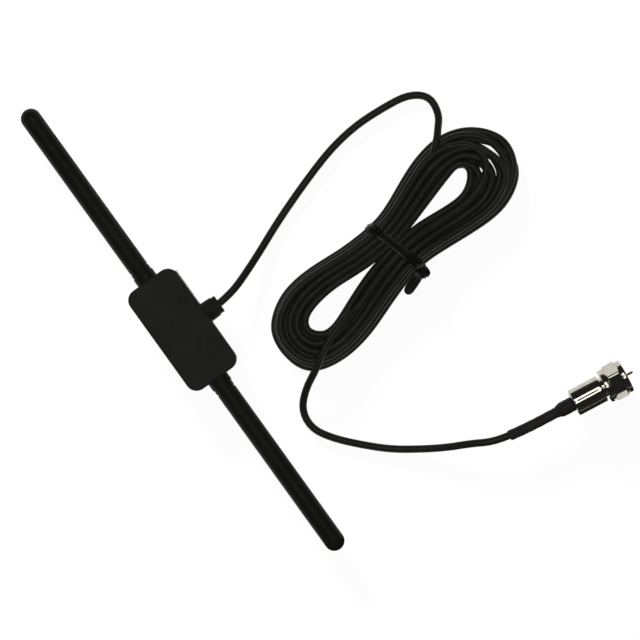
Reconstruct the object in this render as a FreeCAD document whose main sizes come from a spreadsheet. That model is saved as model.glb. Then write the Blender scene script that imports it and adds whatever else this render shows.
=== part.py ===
"""Dipole antenna with a thin coax lead and a screw-on plug, as one parametric document in millimetres.

The origin is the centre of the back face, on the surface that the antenna lies on.
+X runs along the dipole, +Y points out of the cable gland and +Z points up, away from the back face.
"""
import FreeCAD, Part
import math
import os
from types import SimpleNamespace

import Sketcher
from FreeCAD import Vector

DOC = FreeCAD.newDocument("dipole_antenna")

# Driving dimensions: name and millimetres, or degrees for the angles
SIZES = [
    # case
    ("case_length", 39.6),
    ("case_width", 19.0),
    ("case_half_height", 5.0),
    ("case_corner", 3.8),
    ("case_wall", 1.4),
    ("case_edge_round", 0.7),
    ("lip_thickness", 0.6),
    ("lip_height", 0.8),
    ("lip_clearance", 0.1),
    # adhesive back
    ("liner_length", 35.2),
    ("liner_width", 16.0),
    ("liner_thickness", 0.15),
    ("liner_shift", 1.6),
    ("liner_turn", -0.75),
    ("foam_margin", 0.5),
    ("foam_thickness", 0.85),
    # arms
    ("arm_reach", 69.3),
    ("arm_diameter", 6.8),
    ("arm_neck_diameter", 5.2),
    ("arm_flange_diameter", 7.0),
    ("arm_flange_thickness", 1.2),
    ("collar_diameter", 7.4),
    ("collar_length", 2.75),
    ("ring_length", 1.75),
    ("ring_groove_width", 0.55),
    ("ring_groove_depth", 0.2),
    ("rod_diameter", 2.0),
    ("rod_tip_cover", 4.0),
    ("rod_overlap", 3.4),
    # circuit board and what is on it
    ("board_length", 31.0),
    ("board_width", 10.0),
    ("board_thickness", 1.0),
    ("post_diameter", 2.6),
    ("post_spread_x", 26.0),
    ("post_spread_y", 7.2),
    ("post_pin_diameter", 1.2),
    ("post_pin_clearance", 0.05),
    ("core_length", 4.6),
    ("core_width", 7.4),
    ("core_height", 3.4),
    ("core_corner", 1.5),
    ("core_bore", 1.7),
    ("core_bore_spread", 3.6),
    ("core_offset", 1.6),
    ("winding_wire", 0.4),
    ("winding_pitch", 0.5),
    ("chip_length", 2.0),
    ("chip_width", 1.25),
    ("chip_height", 0.8),
    ("chip_spread", 14.0),
    ("solder_gap", 0.1),
    ("solder_film", 0.15),
    ("solder_cover", 0.3),
    ("rod_solder_top", 2.4),
    ("wire_solder_top", 0.8),
    # cable gland and the cable's end inside the case
    ("gland_neck_diameter", 5.2),
    ("gland_flange_diameter", 6.8),
    ("gland_flange_thickness", 1.2),
    ("gland_base_diameter", 7.1),
    ("gland_base_taper", 0.15),
    ("gland_base_length", 3.8),
    ("gland_head_diameter", 6.2),
    ("gland_head_length", 1.65),
    ("cable_diameter", 2.54),
    ("cable_straight", 5.5),
    ("dielectric_diameter", 1.5),
    ("conductor_diameter", 0.5),
    ("braid_diameter", 0.8),
    ("jacket_end_gap", 0.4),
    ("dielectric_length", 1.6),
    ("conductor_length", 1.3),
    # hank of cable and its tie
    ("hank_x", 19.4),
    ("hank_y", 71.5),
    ("hank_angle", 98.6),
    ("hank_height", 10.2),
    ("hank_round", 2.6),
    ("waist_half_width", 10.7),
    ("upper_lobe_half_width", 16.1),
    ("upper_lobe_centre", 31.5),
    ("upper_lobe_cap", 20.3),
    ("upper_hole_start", 9.9),
    ("upper_hole_end", 35.3),
    ("upper_hole_radius", 3.0),
    ("lower_lobe_half_width", 15.4),
    ("lower_lobe_centre", 32.0),
    ("lower_lobe_cap", 17.7),
    ("lower_hole_start", 8.6),
    ("lower_hole_end", 36.0),
    ("lower_hole_radius", 4.0),
    ("tie_width", 3.2),
    ("tie_thickness", 0.5),
    ("tie_clearance", 0.05),
    ("tie_loop_length", 0.7),
    ("tie_knob_diameter", 3.4),
    ("tie_tail_length", 8.5),
    ("tie_tail_splay", 8.0),
    ("tie_shift", 1.5),
    ("tie_skew", 7.5),
    # plug, along its own axis from the start of the sleeve
    ("plug_x", 91.86),
    ("plug_y", 67.26),
    ("plug_height", 6.45),
    ("plug_angle", 82.35),
    ("sleeve_length", 17.6),
    ("sleeve_diameter", 3.5),
    ("sleeve_step_length", 5.5),
    ("sleeve_step_diameter", 4.7),
    ("sleeve_grip", 5.0),
    ("stub_diameter", 3.9),
    ("barrel_length", 11.0),
    ("barrel_diameter", 9.1),
    ("barrel_chamfer", 0.45),
    ("barrel_cone_length", 1.2),
    ("barrel_back_wall", 1.4),
    ("post_tail_diameter", 5.2),
    ("post_tail_length", 6.0),
    ("neck_diameter", 6.5),
    ("neck_gap", 0.9),
    ("post_rim_diameter", 8.0),
    ("post_rim_thickness", 1.0),
    ("post_rim_gap", 0.2),
    ("insulator_diameter", 3.0),
    ("pin_diameter", 0.8),
    ("pin_shoulder_diameter", 1.3),
    ("pin_reach", 2.5),
    ("nut_flats", 11.1),
    ("nut_roll", 12.0),
    ("nut_collar_diameter", 11.3),
    ("nut_back_length", 1.7),
    ("nut_hex_length", 4.8),
    ("nut_front_length", 1.6),
    ("nut_back_wall", 1.2),
    ("nut_running_clearance", 0.05),
    ("nut_thread_bore", 8.7),
    ("nut_mouth_chamfer", 0.35),
]

# Turn of the arcs between a lobe's side and its end
CAP_SHOULDER = math.radians(50)

# Share of a run that the arc at each of its ends may take
ARC_SHARE = 0.45

# Largest share by which a tube's volume may miss its section times its length; thin wire misses most
TUBE_TOLERANCE = 0.05

# Heights closer than this are the same
LEVEL_TOLERANCE = 1e-6

# Points of the cable's free stretches, chosen by eye; the ends at the gland and the plug follow the sizes
LEAD_POINTS = [
    (-2.0, 27.0, 4.6),
    (-5.3, 35.5, 2.4),
    (-9.2, 44.5, 1.4),
    (-12.8, 54.0, 1.3),
    (-16.3, 64.5, 1.3),
    (-19.4, 75.0, 1.3),
    (-21.0, 86.0, 1.3),
    (-20.9, 97.0, 1.3),
    (-19.8, 106.0, 1.3),
    (-15.2, 111.0, 1.3),
    (-8.2, 111.4, 1.3),
    (-2.2, 106.2, 1.3),
    (3.0, 100.3, 1.3),
]
TAIL_POINTS = [
    (27.4, 44.0, 11.0),
    (32.0, 35.6, 11.6),
    (36.4, 28.0, 9.6),
    (39.4, 21.6, 5.4),
    (44.2, 16.0, 2.1),
    (51.6, 14.4, 1.3),
    (58.4, 19.0, 1.3),
    (65.4, 25.6, 1.3),
    (72.4, 32.6, 1.5),
    (78.4, 40.8, 2.4),
    (82.8, 48.4, 3.9),
    (86.6, 55.0, 5.6),
]


class Measure:
    """A length with its value now and the sheet expression that it follows."""

    def __init__(self, text, number):
        self.text = text
        self.number = number

    def joined(self, sign, other, number):
        other_text = other.text if isinstance(other, Measure) else repr(other)
        return Measure(f"({self.text} {sign} {other_text})", number)

    def __add__(self, other):
        return self.joined("+", other, self.number + float(other))

    def __sub__(self, other):
        return self.joined("-", other, self.number - float(other))

    def __mul__(self, factor):
        return self.joined("*", factor, self.number * float(factor))

    def __truediv__(self, factor):
        return self.joined("/", factor, self.number / float(factor))

    def __neg__(self):
        return self * -1.0

    def __float__(self):
        return float(self.number)


ZERO = Measure("0", 0.0)


def make_sheet():
    """Writes the driving dimensions to the document's sheet and returns them as measures."""
    sheet = DOC.addObject("Spreadsheet::Sheet", "Sizes")
    for row, (alias, number) in enumerate(SIZES, start=1):
        sheet.set(f"A{row}", alias)
        sheet.set(f"B{row}", str(number))
        sheet.setAlias(f"B{row}", alias)
    DOC.recompute()
    return SimpleNamespace(**{alias: Measure(f"Sizes.{alias}", sheet.get(alias)) for alias, _ in SIZES})


size = make_sheet()

# Places that several pieces share
case_floor = size.liner_thickness + size.foam_thickness
axis_height = case_floor + size.case_half_height
case_end = size.case_length / 2
case_side = size.case_width / 2
cavity_depth = size.case_half_height - size.case_wall
board_top = axis_height - size.rod_diameter / 2 - size.solder_film
board_bottom = board_top - size.board_thickness
gland_end = case_side + size.gland_base_length + size.gland_head_length
jacket_end = size.board_width / 2 + size.jacket_end_gap
conductor_start = jacket_end - size.dielectric_length
conductor_end = conductor_start - size.conductor_length
sleeve_end = size.sleeve_length + size.sleeve_step_length
barrel_end = sleeve_end + size.barrel_length
nut_start = barrel_end + size.neck_gap
rim_start = nut_start + size.nut_back_wall + size.post_rim_gap
rim_end = rim_start + size.post_rim_thickness
nut_end = nut_start + size.nut_back_length + size.nut_hex_length + size.nut_front_length
pin_start = sleeve_end + size.barrel_back_wall
cable_straight = float(size.cable_straight)
lead_start = Vector(0, float(gland_end), float(axis_height))
lead_turn = lead_start + Vector(0, cable_straight, 0)
plug_start = Vector(float(size.plug_x), float(size.plug_y), float(size.plug_height))
plug_heading = math.radians(float(size.plug_angle))
plug_turn = plug_start - Vector(math.cos(plug_heading), math.sin(plug_heading), 0) * cable_straight


def bind(target, name, measure):
    """Sets a property and ties it to the sheet."""
    target.setExpression(name, measure.text)


def add_body(label):
    body = DOC.addObject("PartDesign::Body", label)
    body.Label = label
    return body


def add_sketch(body, name, role, lift=None):
    """Adds a sketch on one of the body's own origin planes, raised along the plane's normal."""
    sketch = body.newObject("Sketcher::SketchObject", name)
    plane = next(feature for feature in body.Origin.OriginFeatures if feature.Role == role)
    sketch.AttachmentSupport = [(plane, "")]
    sketch.MapMode = "FlatFace"
    if lift is not None:
        bind(sketch, "AttachmentOffset.Base.z", lift)
    return sketch


def tie_vertex(sketch, line, end, x, y):
    """Ties a vertex of a sketch to the sheet by its two coordinates; 0 puts it on the axis."""
    for kind, across, measure in (("DistanceX", -2, x), ("DistanceY", -1, y)):
        if isinstance(measure, Measure):
            index = sketch.addConstraint(Sketcher.Constraint(kind, -1, 1, line, end, float(measure)))
            bind(sketch, f"Constraints[{index}]", measure)
        else:
            sketch.addConstraint(Sketcher.Constraint("PointOnObject", line, end, across))


def flat(point):
    return Vector(float(point[0]), float(point[1]), 0)


def add_polygon(sketch, corners, dome=None):
    """Draws a closed outline; the side after corner number dome is a quarter arc centred on the X axis."""
    lines = []
    count = len(corners)
    for number, corner in enumerate(corners):
        start = flat(corner)
        end = flat(corners[(number + 1) % count])
        if number == dome:
            circle = Part.Circle(Vector(start.x, end.y, 0), Vector(0, 0, 1), start.y - end.y)
            lines.append(sketch.addGeometry(Part.ArcOfCircle(circle, 0, math.pi / 2), False))
        else:
            lines.append(sketch.addGeometry(Part.LineSegment(start, end), False))
    for number, line in enumerate(lines):
        following = (number + 1) % count
        leaves = 1 if number == dome else 2
        arrives = 2 if following == dome else 1
        sketch.addConstraint(Sketcher.Constraint("Coincident", line, leaves, lines[following], arrives))
        tie_vertex(sketch, line, 2 if number == dome else 1, *corners[number])
    if dome is not None:
        sketch.addConstraint(Sketcher.Constraint("PointOnObject", lines[dome], 3, -1))


def add_rounded_rectangle(sketch, length, width, corner, shift=None):
    """Draws a rectangle with round corners about the origin, or shifted along the sketch's Y."""
    def at(x, y):
        return x, y + shift if shift is not None else y

    right = length / 2
    top = width / 2
    inner_x = right - corner
    inner_y = top - corner
    sides = [
        (at(-inner_x, -top), at(inner_x, -top)),
        (at(right, -inner_y), at(right, inner_y)),
        (at(inner_x, top), at(-inner_x, top)),
        (at(-right, inner_y), at(-right, -inner_y)),
    ]
    centres = [at(inner_x, -inner_y), at(inner_x, inner_y), at(-inner_x, inner_y), at(-inner_x, -inner_y)]
    lines = [sketch.addGeometry(Part.LineSegment(flat(start), flat(end)), False) for start, end in sides]
    for number, centre in enumerate(centres):
        turn = (number - 1) * math.pi / 2
        circle = Part.Circle(flat(centre), Vector(0, 0, 1), float(corner))
        arc = sketch.addGeometry(Part.ArcOfCircle(circle, turn, turn + math.pi / 2), False)
        sketch.addConstraint(Sketcher.Constraint("Coincident", lines[number], 2, arc, 1))
        sketch.addConstraint(Sketcher.Constraint("Coincident", arc, 2, lines[(number + 1) % 4], 1))
        index = sketch.addConstraint(Sketcher.Constraint("Radius", arc, float(corner)))
        bind(sketch, f"Constraints[{index}]", corner)
    for line, (start, end) in zip(lines, sides):
        tie_vertex(sketch, line, 1, *start)
        tie_vertex(sketch, line, 2, *end)


def add_circle(sketch, x, y, diameter):
    centre = Vector(float(x), float(y), 0)
    circle = sketch.addGeometry(Part.Circle(centre, Vector(0, 0, 1), float(diameter) / 2), False)
    tie_vertex(sketch, circle, 3, x, y)
    index = sketch.addConstraint(Sketcher.Constraint("Diameter", circle, float(diameter)))
    bind(sketch, f"Constraints[{index}]", diameter)


def add_feature(body, kind, name, sketch, length, turned_round=False):
    """Adds a Pad or Pocket of a sketch."""
    feature = body.newObject(f"PartDesign::{kind}", name)
    feature.Profile = sketch
    feature.Reversed = turned_round
    bind(feature, "Length", length)
    DOC.recompute()
    return feature


def add_revolution(body, sketch, name="Turning"):
    """Turns a sketch about its own X axis."""
    feature = body.newObject("PartDesign::Revolution", name)
    feature.Profile = sketch
    feature.ReferenceAxis = (sketch, ["H_Axis"])
    feature.Angle = 360
    return feature


def add_turned_body(label, role, corners, dome=None):
    """Makes a body that is one profile turned about the sketch's X axis."""
    body = add_body(label)
    sketch = add_sketch(body, "Profile", role)
    add_polygon(sketch, corners, dome)
    add_revolution(body, sketch)
    return body


def is_level(edge, level):
    """Says whether an edge lies wholly at one height."""
    return all(abs(vertex.Z - level) < LEVEL_TOLERANCE for vertex in edge.Vertexes)


def round_level_edges(body, feature, level, radius):
    """Rounds the edges of a feature that lie wholly at one height."""
    names = [
        f"Edge{number}"
        for number, edge in enumerate(feature.Shape.Edges, start=1)
        if is_level(edge, float(level))
    ]
    fillet = body.newObject("PartDesign::Fillet", "EdgeRound")
    fillet.Base = (feature, names)
    bind(fillet, "Radius", radius)
    DOC.recompute()


def inset_outline(sketch, inset=ZERO):
    """Draws the case's outline, moved inwards."""
    add_rounded_rectangle(
        sketch, size.case_length - inset * 2, size.case_width - inset * 2, size.case_corner - inset
    )


def bore_case(body):
    """Cuts the half holes for the two arms and the gland through a shell's walls."""
    arms = add_sketch(body, "ArmHoles", "YZ_Plane", -case_end)
    add_circle(arms, 0, axis_height, size.arm_neck_diameter)
    add_feature(body, "Pocket", "ArmHolesCut", arms, size.case_length, turned_round=True)
    gland = add_sketch(body, "GlandHole", "XZ_Plane")
    add_circle(gland, 0, axis_height, size.gland_neck_diameter)
    add_feature(body, "Pocket", "GlandHoleCut", gland, size.case_width)


def post_places():
    """Gives the four places of the board's posts."""
    return [
        (size.post_spread_x * (along / 2), size.post_spread_y * (across / 2))
        for along in (-1, 1)
        for across in (-1, 1)
    ]


def make_case_bottom():
    body = add_body("case_bottom")
    outline = add_sketch(body, "Outline", "XY_Plane", case_floor)
    inset_outline(outline)
    block = add_feature(body, "Pad", "Block", outline, size.case_half_height)
    round_level_edges(body, block, case_floor, size.case_edge_round)
    cavity = add_sketch(body, "Cavity", "XY_Plane", axis_height)
    inset_outline(cavity, size.case_wall)
    add_feature(body, "Pocket", "CavityCut", cavity, cavity_depth)
    lip = add_sketch(body, "Lip", "XY_Plane", axis_height)
    inset_outline(lip, size.case_wall - size.lip_thickness)
    inset_outline(lip, size.case_wall)
    add_feature(body, "Pad", "LipRing", lip, size.lip_height)
    bore_case(body)
    posts = add_sketch(body, "Posts", "XY_Plane", case_floor + size.case_wall)
    pins = add_sketch(body, "PostPins", "XY_Plane", board_bottom)
    for x, y in post_places():
        add_circle(posts, x, y, size.post_diameter)
        add_circle(pins, x, y, size.post_pin_diameter)
    add_feature(body, "Pad", "PostsUp", posts, board_bottom - case_floor - size.case_wall)
    add_feature(body, "Pad", "PostPinsUp", pins, size.board_thickness)
    return body


def make_case_top():
    body = add_body("case_top")
    outline = add_sketch(body, "Outline", "XY_Plane", axis_height)
    inset_outline(outline)
    block = add_feature(body, "Pad", "Block", outline, size.case_half_height)
    round_level_edges(body, block, axis_height + size.case_half_height, size.case_edge_round)
    cavity = add_sketch(body, "Cavity", "XY_Plane", axis_height)
    inset_outline(cavity, size.case_wall)
    add_feature(body, "Pocket", "CavityCut", cavity, cavity_depth, turned_round=True)
    rebate = add_sketch(body, "Rebate", "XY_Plane", axis_height)
    inset_outline(rebate, size.case_wall - size.lip_thickness - size.lip_clearance)
    rebate_depth = size.lip_height + size.lip_clearance
    add_feature(body, "Pocket", "RebateCut", rebate, rebate_depth, turned_round=True)
    bore_case(body)
    return body


def make_back(label, margin, bottom, thickness):
    """Makes a layer of the adhesive back: a plain rectangle, stuck on off centre and not quite straight."""
    body = add_body(label)
    right = size.liner_length / 2 - margin
    top = size.liner_width / 2 - margin
    sketch = add_sketch(body, "Outline", "XY_Plane", bottom)
    corners = [(-right, -top), (right, -top), (right, top), (-right, top)]
    add_polygon(sketch, [(x, y + size.liner_shift) for x, y in corners])
    add_feature(body, "Pad", "Layer", sketch, thickness)
    body.Placement.Rotation = FreeCAD.Rotation(Vector(0, 0, 1), float(size.liner_turn))
    return body


def turn_to_side(body, side):
    """Puts an arm piece on the dipole's axis, on the +X side or turned round to the -X side."""
    body.Placement.Rotation = FreeCAD.Rotation(Vector(0, 0, 1), 0 if side > 0 else 180)
    bind(body, "Placement.Base.z", axis_height)


def make_arm_cover(label, side):
    """Makes an arm's moulded cover: flange and neck in the case wall, collar, ring, long bar, domed tip."""
    wall_inside = case_end - size.case_wall
    collar_end = case_end + size.collar_length
    ring_end = collar_end + size.ring_length
    groove_end = ring_end + size.ring_groove_width
    tip = case_end + size.arm_reach
    bar = size.arm_diameter / 2
    groove = bar - size.ring_groove_depth
    bore = size.rod_diameter / 2
    bore_end = tip - size.rod_tip_cover
    flange_start = wall_inside - size.arm_flange_thickness
    corners = [
        (flange_start, bore),
        (flange_start, size.arm_flange_diameter / 2),
        (wall_inside, size.arm_flange_diameter / 2),
        (wall_inside, size.arm_neck_diameter / 2),
        (case_end, size.arm_neck_diameter / 2),
        (case_end, size.collar_diameter / 2),
        (collar_end, size.collar_diameter / 2),
        (collar_end, bar),
        (ring_end, bar),
        (ring_end, groove),
        (groove_end, groove),
        (groove_end, bar),
        (tip - bar, bar),
        (tip, 0),
        (bore_end, 0),
        (bore_end, bore),
    ]
    body = add_turned_body(label, "XZ_Plane", corners, dome=12)
    turn_to_side(body, side)
    return body


def make_arm_rod(label, side):
    """Makes the radiator in an arm: a plain rod from the board to the bottom of the cover's bore."""
    start = size.board_length / 2 - size.rod_overlap
    end = case_end + size.arm_reach - size.rod_tip_cover
    radius = size.rod_diameter / 2
    body = add_turned_body(label, "XZ_Plane", [(start, 0), (start, radius), (end, radius), (end, 0)])
    turn_to_side(body, side)
    return body


def make_board():
    body = add_body("circuit_board")
    outline = add_sketch(body, "Outline", "XY_Plane", board_bottom)
    right = size.board_length / 2
    top = size.board_width / 2
    add_polygon(outline, [(-right, -top), (right, -top), (right, top), (-right, top)])
    for x, y in post_places():
        add_circle(outline, x, y, size.post_pin_diameter + size.post_pin_clearance * 2)
    add_feature(body, "Pad", "Sheet", outline, size.board_thickness)
    return body


def make_balun_core():
    """Makes the two-hole ferrite core, with round ends in section, lying along Y on the board."""
    body = add_body("balun_core")
    start = size.core_length / 2 + size.core_offset
    section = add_sketch(body, "Section", "XZ_Plane", start)
    middle = board_top + size.core_height / 2
    add_rounded_rectangle(section, size.core_width, size.core_height, size.core_corner, middle)
    for side in (-1, 1):
        add_circle(section, size.core_bore_spread * (side / 2), middle, size.core_bore)
    add_feature(body, "Pad", "Prism", section, size.core_length, turned_round=True)
    return body


def route_path(points, most_trim):
    """Joins points by straight runs and the largest tangent arcs they allow; returns edges and radii."""
    edges = []
    radii = []
    start = points[0]
    for before, corner, after in zip(points, points[1:], points[2:]):
        arriving = (corner - before).normalize()
        leaving = (after - corner).normalize()
        half_turn = arriving.getAngle(leaving) / 2
        trim = min(ARC_SHARE * (corner - before).Length, ARC_SHARE * (after - corner).Length, most_trim)
        radius = trim / math.tan(half_turn)
        inward = (leaving - arriving).normalize()
        first = corner - arriving * trim
        middle = corner + inward * (radius / math.cos(half_turn) - radius)
        last = corner + leaving * trim
        edges.append(Part.LineSegment(start, first).toShape())
        edges.append(Part.Arc(first, middle, last).toShape())
        radii.append(radius)
        start = last
    edges.append(Part.LineSegment(start, points[-1]).toShape())
    return edges, radii


def make_tube(points, diameter, most_trim=math.inf):
    """Sweeps a round section along a route and checks its volume against section times length."""
    edges, radii = route_path(points, most_trim)
    circle = Part.makeCircle(diameter / 2, points[0], points[1] - points[0])
    tube = Part.Wire(edges).makePipeShell([Part.Wire(circle)], True, False)
    length = sum(edge.Length for edge in edges)
    expected = math.pi * diameter ** 2 / 4 * length
    if abs(tube.Volume / expected - 1) > TUBE_TOLERANCE:
        raise ValueError(f"tube volume {tube.Volume:.1f}, expected {expected:.1f}")
    return tube, length, radii


def add_shape(label, shape):
    piece = DOC.addObject("Part::Feature", label)
    piece.Label = label
    piece.Shape = shape
    return piece


def make_balun_winding():
    """Makes three nested hairpins of wire through the core's two holes, with their legs on the board."""
    wire = float(size.winding_wire)
    level = float(board_top + size.core_height / 2)
    front = float(size.core_length / 2 - size.core_offset) + 2 * wire
    back = -float(size.core_length / 2 + size.core_offset) - wire
    hairpins = []
    for number in (-1, 0, 1):
        nest = number * float(size.winding_pitch)
        side = float(size.core_bore_spread) / 2 + nest
        far = back - (nest + float(size.winding_pitch))
        points = [
            Vector(-side, front, float(board_top)),
            Vector(-side, front, level),
            Vector(-side, far, level),
            Vector(side, far, level),
            Vector(side, front, level),
            Vector(side, front, float(board_top)),
        ]
        hairpins.append(make_tube(points, wire, most_trim=wire)[0])
    return add_shape("balun_winding", Part.makeCompound(hairpins))


def make_chip_parts():
    """Makes the two matching chips, one each side of the balun."""
    chips = []
    for side in (-1, 1):
        chip = DOC.addObject("Part::Box", "Chip")
        bind(chip, "Length", size.chip_width)
        bind(chip, "Width", size.chip_length)
        bind(chip, "Height", size.chip_height)
        bind(chip, "Placement.Base.x", size.chip_spread * (side / 2) - size.chip_width / 2)
        bind(chip, "Placement.Base.y", -size.chip_length / 2)
        bind(chip, "Placement.Base.z", board_top)
        chips.append(chip)
    group = DOC.addObject("Part::Compound", "chip_parts")
    group.Label = "chip_parts"
    group.Links = chips
    return group


def add_solder(x, y, base, top, hole_diameter, hole_axis):
    """Makes a cone of solder on the board with the conductor that it holds cut out of it."""
    height = axis_height - board_top + hole_diameter / 2 + size.solder_cover
    cone = DOC.addObject("Part::Cone", "SolderCone")
    bind(cone, "Radius1", base / 2)
    bind(cone, "Radius2", top / 2)
    bind(cone, "Height", height)
    bind(cone, "Placement.Base.x", x)
    bind(cone, "Placement.Base.y", y)
    bind(cone, "Placement.Base.z", board_top)
    hole = DOC.addObject("Part::Cylinder", "SolderHole")
    hole.Placement.Rotation = FreeCAD.Rotation(Vector(0, 0, 1), hole_axis)
    bind(hole, "Radius", hole_diameter / 2)
    bind(hole, "Height", base * 2)
    bind(hole, "Placement.Base.x", x - base * hole_axis.x)
    bind(hole, "Placement.Base.y", y - base * hole_axis.y)
    bind(hole, "Placement.Base.z", axis_height)
    joint = DOC.addObject("Part::Cut", "SolderJoint")
    joint.Base = cone
    joint.Tool = hole
    return joint


def make_solder_joints():
    """Makes the joints of the two rods and of the cable's centre conductor."""
    joints = []
    rod_place = size.board_length / 2 - size.rod_overlap / 2
    rod_base = size.rod_overlap - size.solder_gap * 2
    rod_cone = (rod_base, size.rod_solder_top, size.rod_diameter)
    for side in (-1.0, 1.0):
        joints.append(add_solder(rod_place * side, ZERO, *rod_cone, Vector(1, 0, 0)))
    wire_place = conductor_end + size.conductor_length / 2
    wire_base = size.conductor_length - size.solder_gap * 2
    wire_cone = (wire_base, size.wire_solder_top, size.conductor_diameter)
    joints.append(add_solder(ZERO, wire_place, *wire_cone, Vector(0, 1, 0)))
    group = DOC.addObject("Part::Compound", "solder_joints")
    group.Label = "solder_joints"
    group.Links = joints
    return group


def make_gland():
    """Makes the rubber gland: flange inside the wall, neck through it, tapered base and head outside."""
    wall_inside = case_side - size.case_wall
    base_end = case_side + size.gland_base_length
    flange_start = wall_inside - size.gland_flange_thickness
    base = size.gland_base_diameter / 2
    bore = size.cable_diameter / 2
    corners = [
        (flange_start, bore),
        (flange_start, size.gland_flange_diameter / 2),
        (wall_inside, size.gland_flange_diameter / 2),
        (wall_inside, size.gland_neck_diameter / 2),
        (case_side, size.gland_neck_diameter / 2),
        (case_side, base),
        (base_end, base - size.gland_base_taper),
        (base_end, size.gland_head_diameter / 2),
        (gland_end, size.gland_head_diameter / 2),
        (gland_end, bore),
    ]
    body = add_turned_body("cable_gland", "YZ_Plane", corners)
    bind(body, "Placement.Base.z", axis_height)
    return body


def make_cable_layer(label, start, end, diameter):
    """Makes a straight length of one layer of the cable, inside the case."""
    radius = diameter / 2
    body = add_turned_body(label, "YZ_Plane", [(start, 0), (start, radius), (end, radius), (end, 0)])
    bind(body, "Placement.Base.z", axis_height)
    return body


def make_braid_tail():
    """Makes the twisted braid, from the jacket's end down to the board."""
    thick = float(size.braid_diameter)
    side = float(size.dielectric_diameter) / 2 + thick / 2
    near = float(jacket_end)
    low = float(board_top) + thick / 2
    points = [
        Vector(side, near, float(axis_height)),
        Vector(side, near - thick, float(axis_height)),
        Vector(side + thick, near - 2 * thick, low),
        Vector(side + 2 * thick, near - 3 * thick, low),
    ]
    return add_shape("cable_braid_tail", make_tube(points, thick)[0])


def side_arcs(across, centre, half_width):
    """Draws one side of a lobe from the waist: two equal arcs that leave and arrive along the hank."""
    waist = float(size.waist_half_width)
    rise = half_width - waist
    run = abs(centre)
    radius = (run ** 2 + rise ** 2) / (4 * rise)
    lean = math.asin(run / 2 / radius) / 2
    sign = math.copysign(1, centre)

    def near_waist(angle):
        return Vector(sign * radius * math.sin(angle), across * (waist + radius * (1 - math.cos(angle))), 0)

    def near_lobe(angle):
        return Vector(centre - sign * radius * math.sin(angle),
                      across * (half_width - radius * (1 - math.cos(angle))), 0)

    first = Part.Arc(near_waist(0), near_waist(lean), near_waist(2 * lean)).toShape()
    second = Part.Arc(near_waist(2 * lean), near_lobe(lean), near_lobe(0)).toShape()
    return [first, second]


def lobe_outline(centre, half_width, cap):
    """Draws both sides of a lobe and its end, which is three tangent arcs."""
    sign = math.copysign(1, centre)
    sine = math.sin(CAP_SHOULDER)
    cosine = math.cos(CAP_SHOULDER)
    share = sine * cosine - (1 - sine) * (1 - cosine)
    shoulder = (cap * cosine - half_width * (1 - sine)) / share

    def on_shoulder(angle, across):
        return Vector(centre + sign * shoulder * math.sin(angle),
                      across * (half_width - shoulder * (1 - math.cos(angle))), 0)

    def shoulder_arc(across):
        points = [on_shoulder(part * CAP_SHOULDER, across) for part in (0, 0.5, 1)]
        return Part.Arc(*points).toShape()

    tip = Vector(centre + sign * cap, 0, 0)
    end = Part.Arc(on_shoulder(CAP_SHOULDER, 1), tip, on_shoulder(CAP_SHOULDER, -1)).toShape()
    sides = side_arcs(1, centre, half_width) + side_arcs(-1, centre, half_width)
    return sides + [shoulder_arc(1), end, shoulder_arc(-1)]


def hole_prism(start, end, radius, height):
    """Makes the teardrop gap in a lobe, from its point at the waist side to its round end."""
    sign = math.copysign(1, end)
    point = Vector(start, 0, 0)
    middle = Vector(end - sign * radius, 0, 0)
    span = abs(middle.x - start)
    lean = math.asin(radius / span)
    touch_x = middle.x - sign * radius * math.sin(lean)
    touch_y = radius * math.cos(lean)
    upper = Vector(touch_x, touch_y, 0)
    lower = Vector(touch_x, -touch_y, 0)
    edges = [
        Part.LineSegment(point, upper).toShape(),
        Part.Arc(upper, Vector(end, 0, 0), lower).toShape(),
        Part.LineSegment(lower, point).toShape(),
    ]
    return Part.Face(Part.Wire(edges)).extrude(Vector(0, 0, height))


def rounded_slab(length, width, height, low, corner):
    """Makes a bar along the hank's X axis with round corners in section, centred across it."""
    slab = Part.makeBox(length, width, height, Vector(-length / 2, -width / 2, low))
    long_edges = [edge for edge in slab.Edges if edge.BoundBox.XLength > length / 2]
    return slab.makeFillet(corner, long_edges)


def waist_slab(inset, length):
    """Makes the waist's section, moved inwards, as a bar of the given length."""
    return rounded_slab(
        length,
        2 * (float(size.waist_half_width) - inset),
        float(size.hank_height) - 2 * inset,
        inset,
        float(size.hank_round) - inset,
    )


def place_on_hank(piece):
    piece.Placement.Rotation = FreeCAD.Rotation(Vector(0, 0, 1), float(size.hank_angle))
    bind(piece, "Placement.Base.x", size.hank_x)
    bind(piece, "Placement.Base.y", size.hank_y)
    return piece


def on_tie(shape):
    """Turns and shifts a shape that was made across the hank's middle to where the tie is."""
    shape.rotate(Vector(), Vector(0, 0, 1), float(size.tie_skew))
    shape.translate(Vector(float(size.tie_shift), 0, 0))
    return shape


def tie_slice(width):
    """Makes a thin slice of space across the waist, where the tie is."""
    wide = 4 * float(size.waist_half_width)
    return on_tie(Part.makeBox(width, wide, wide, Vector(-width / 2, -wide / 2, -wide / 2)))


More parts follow.
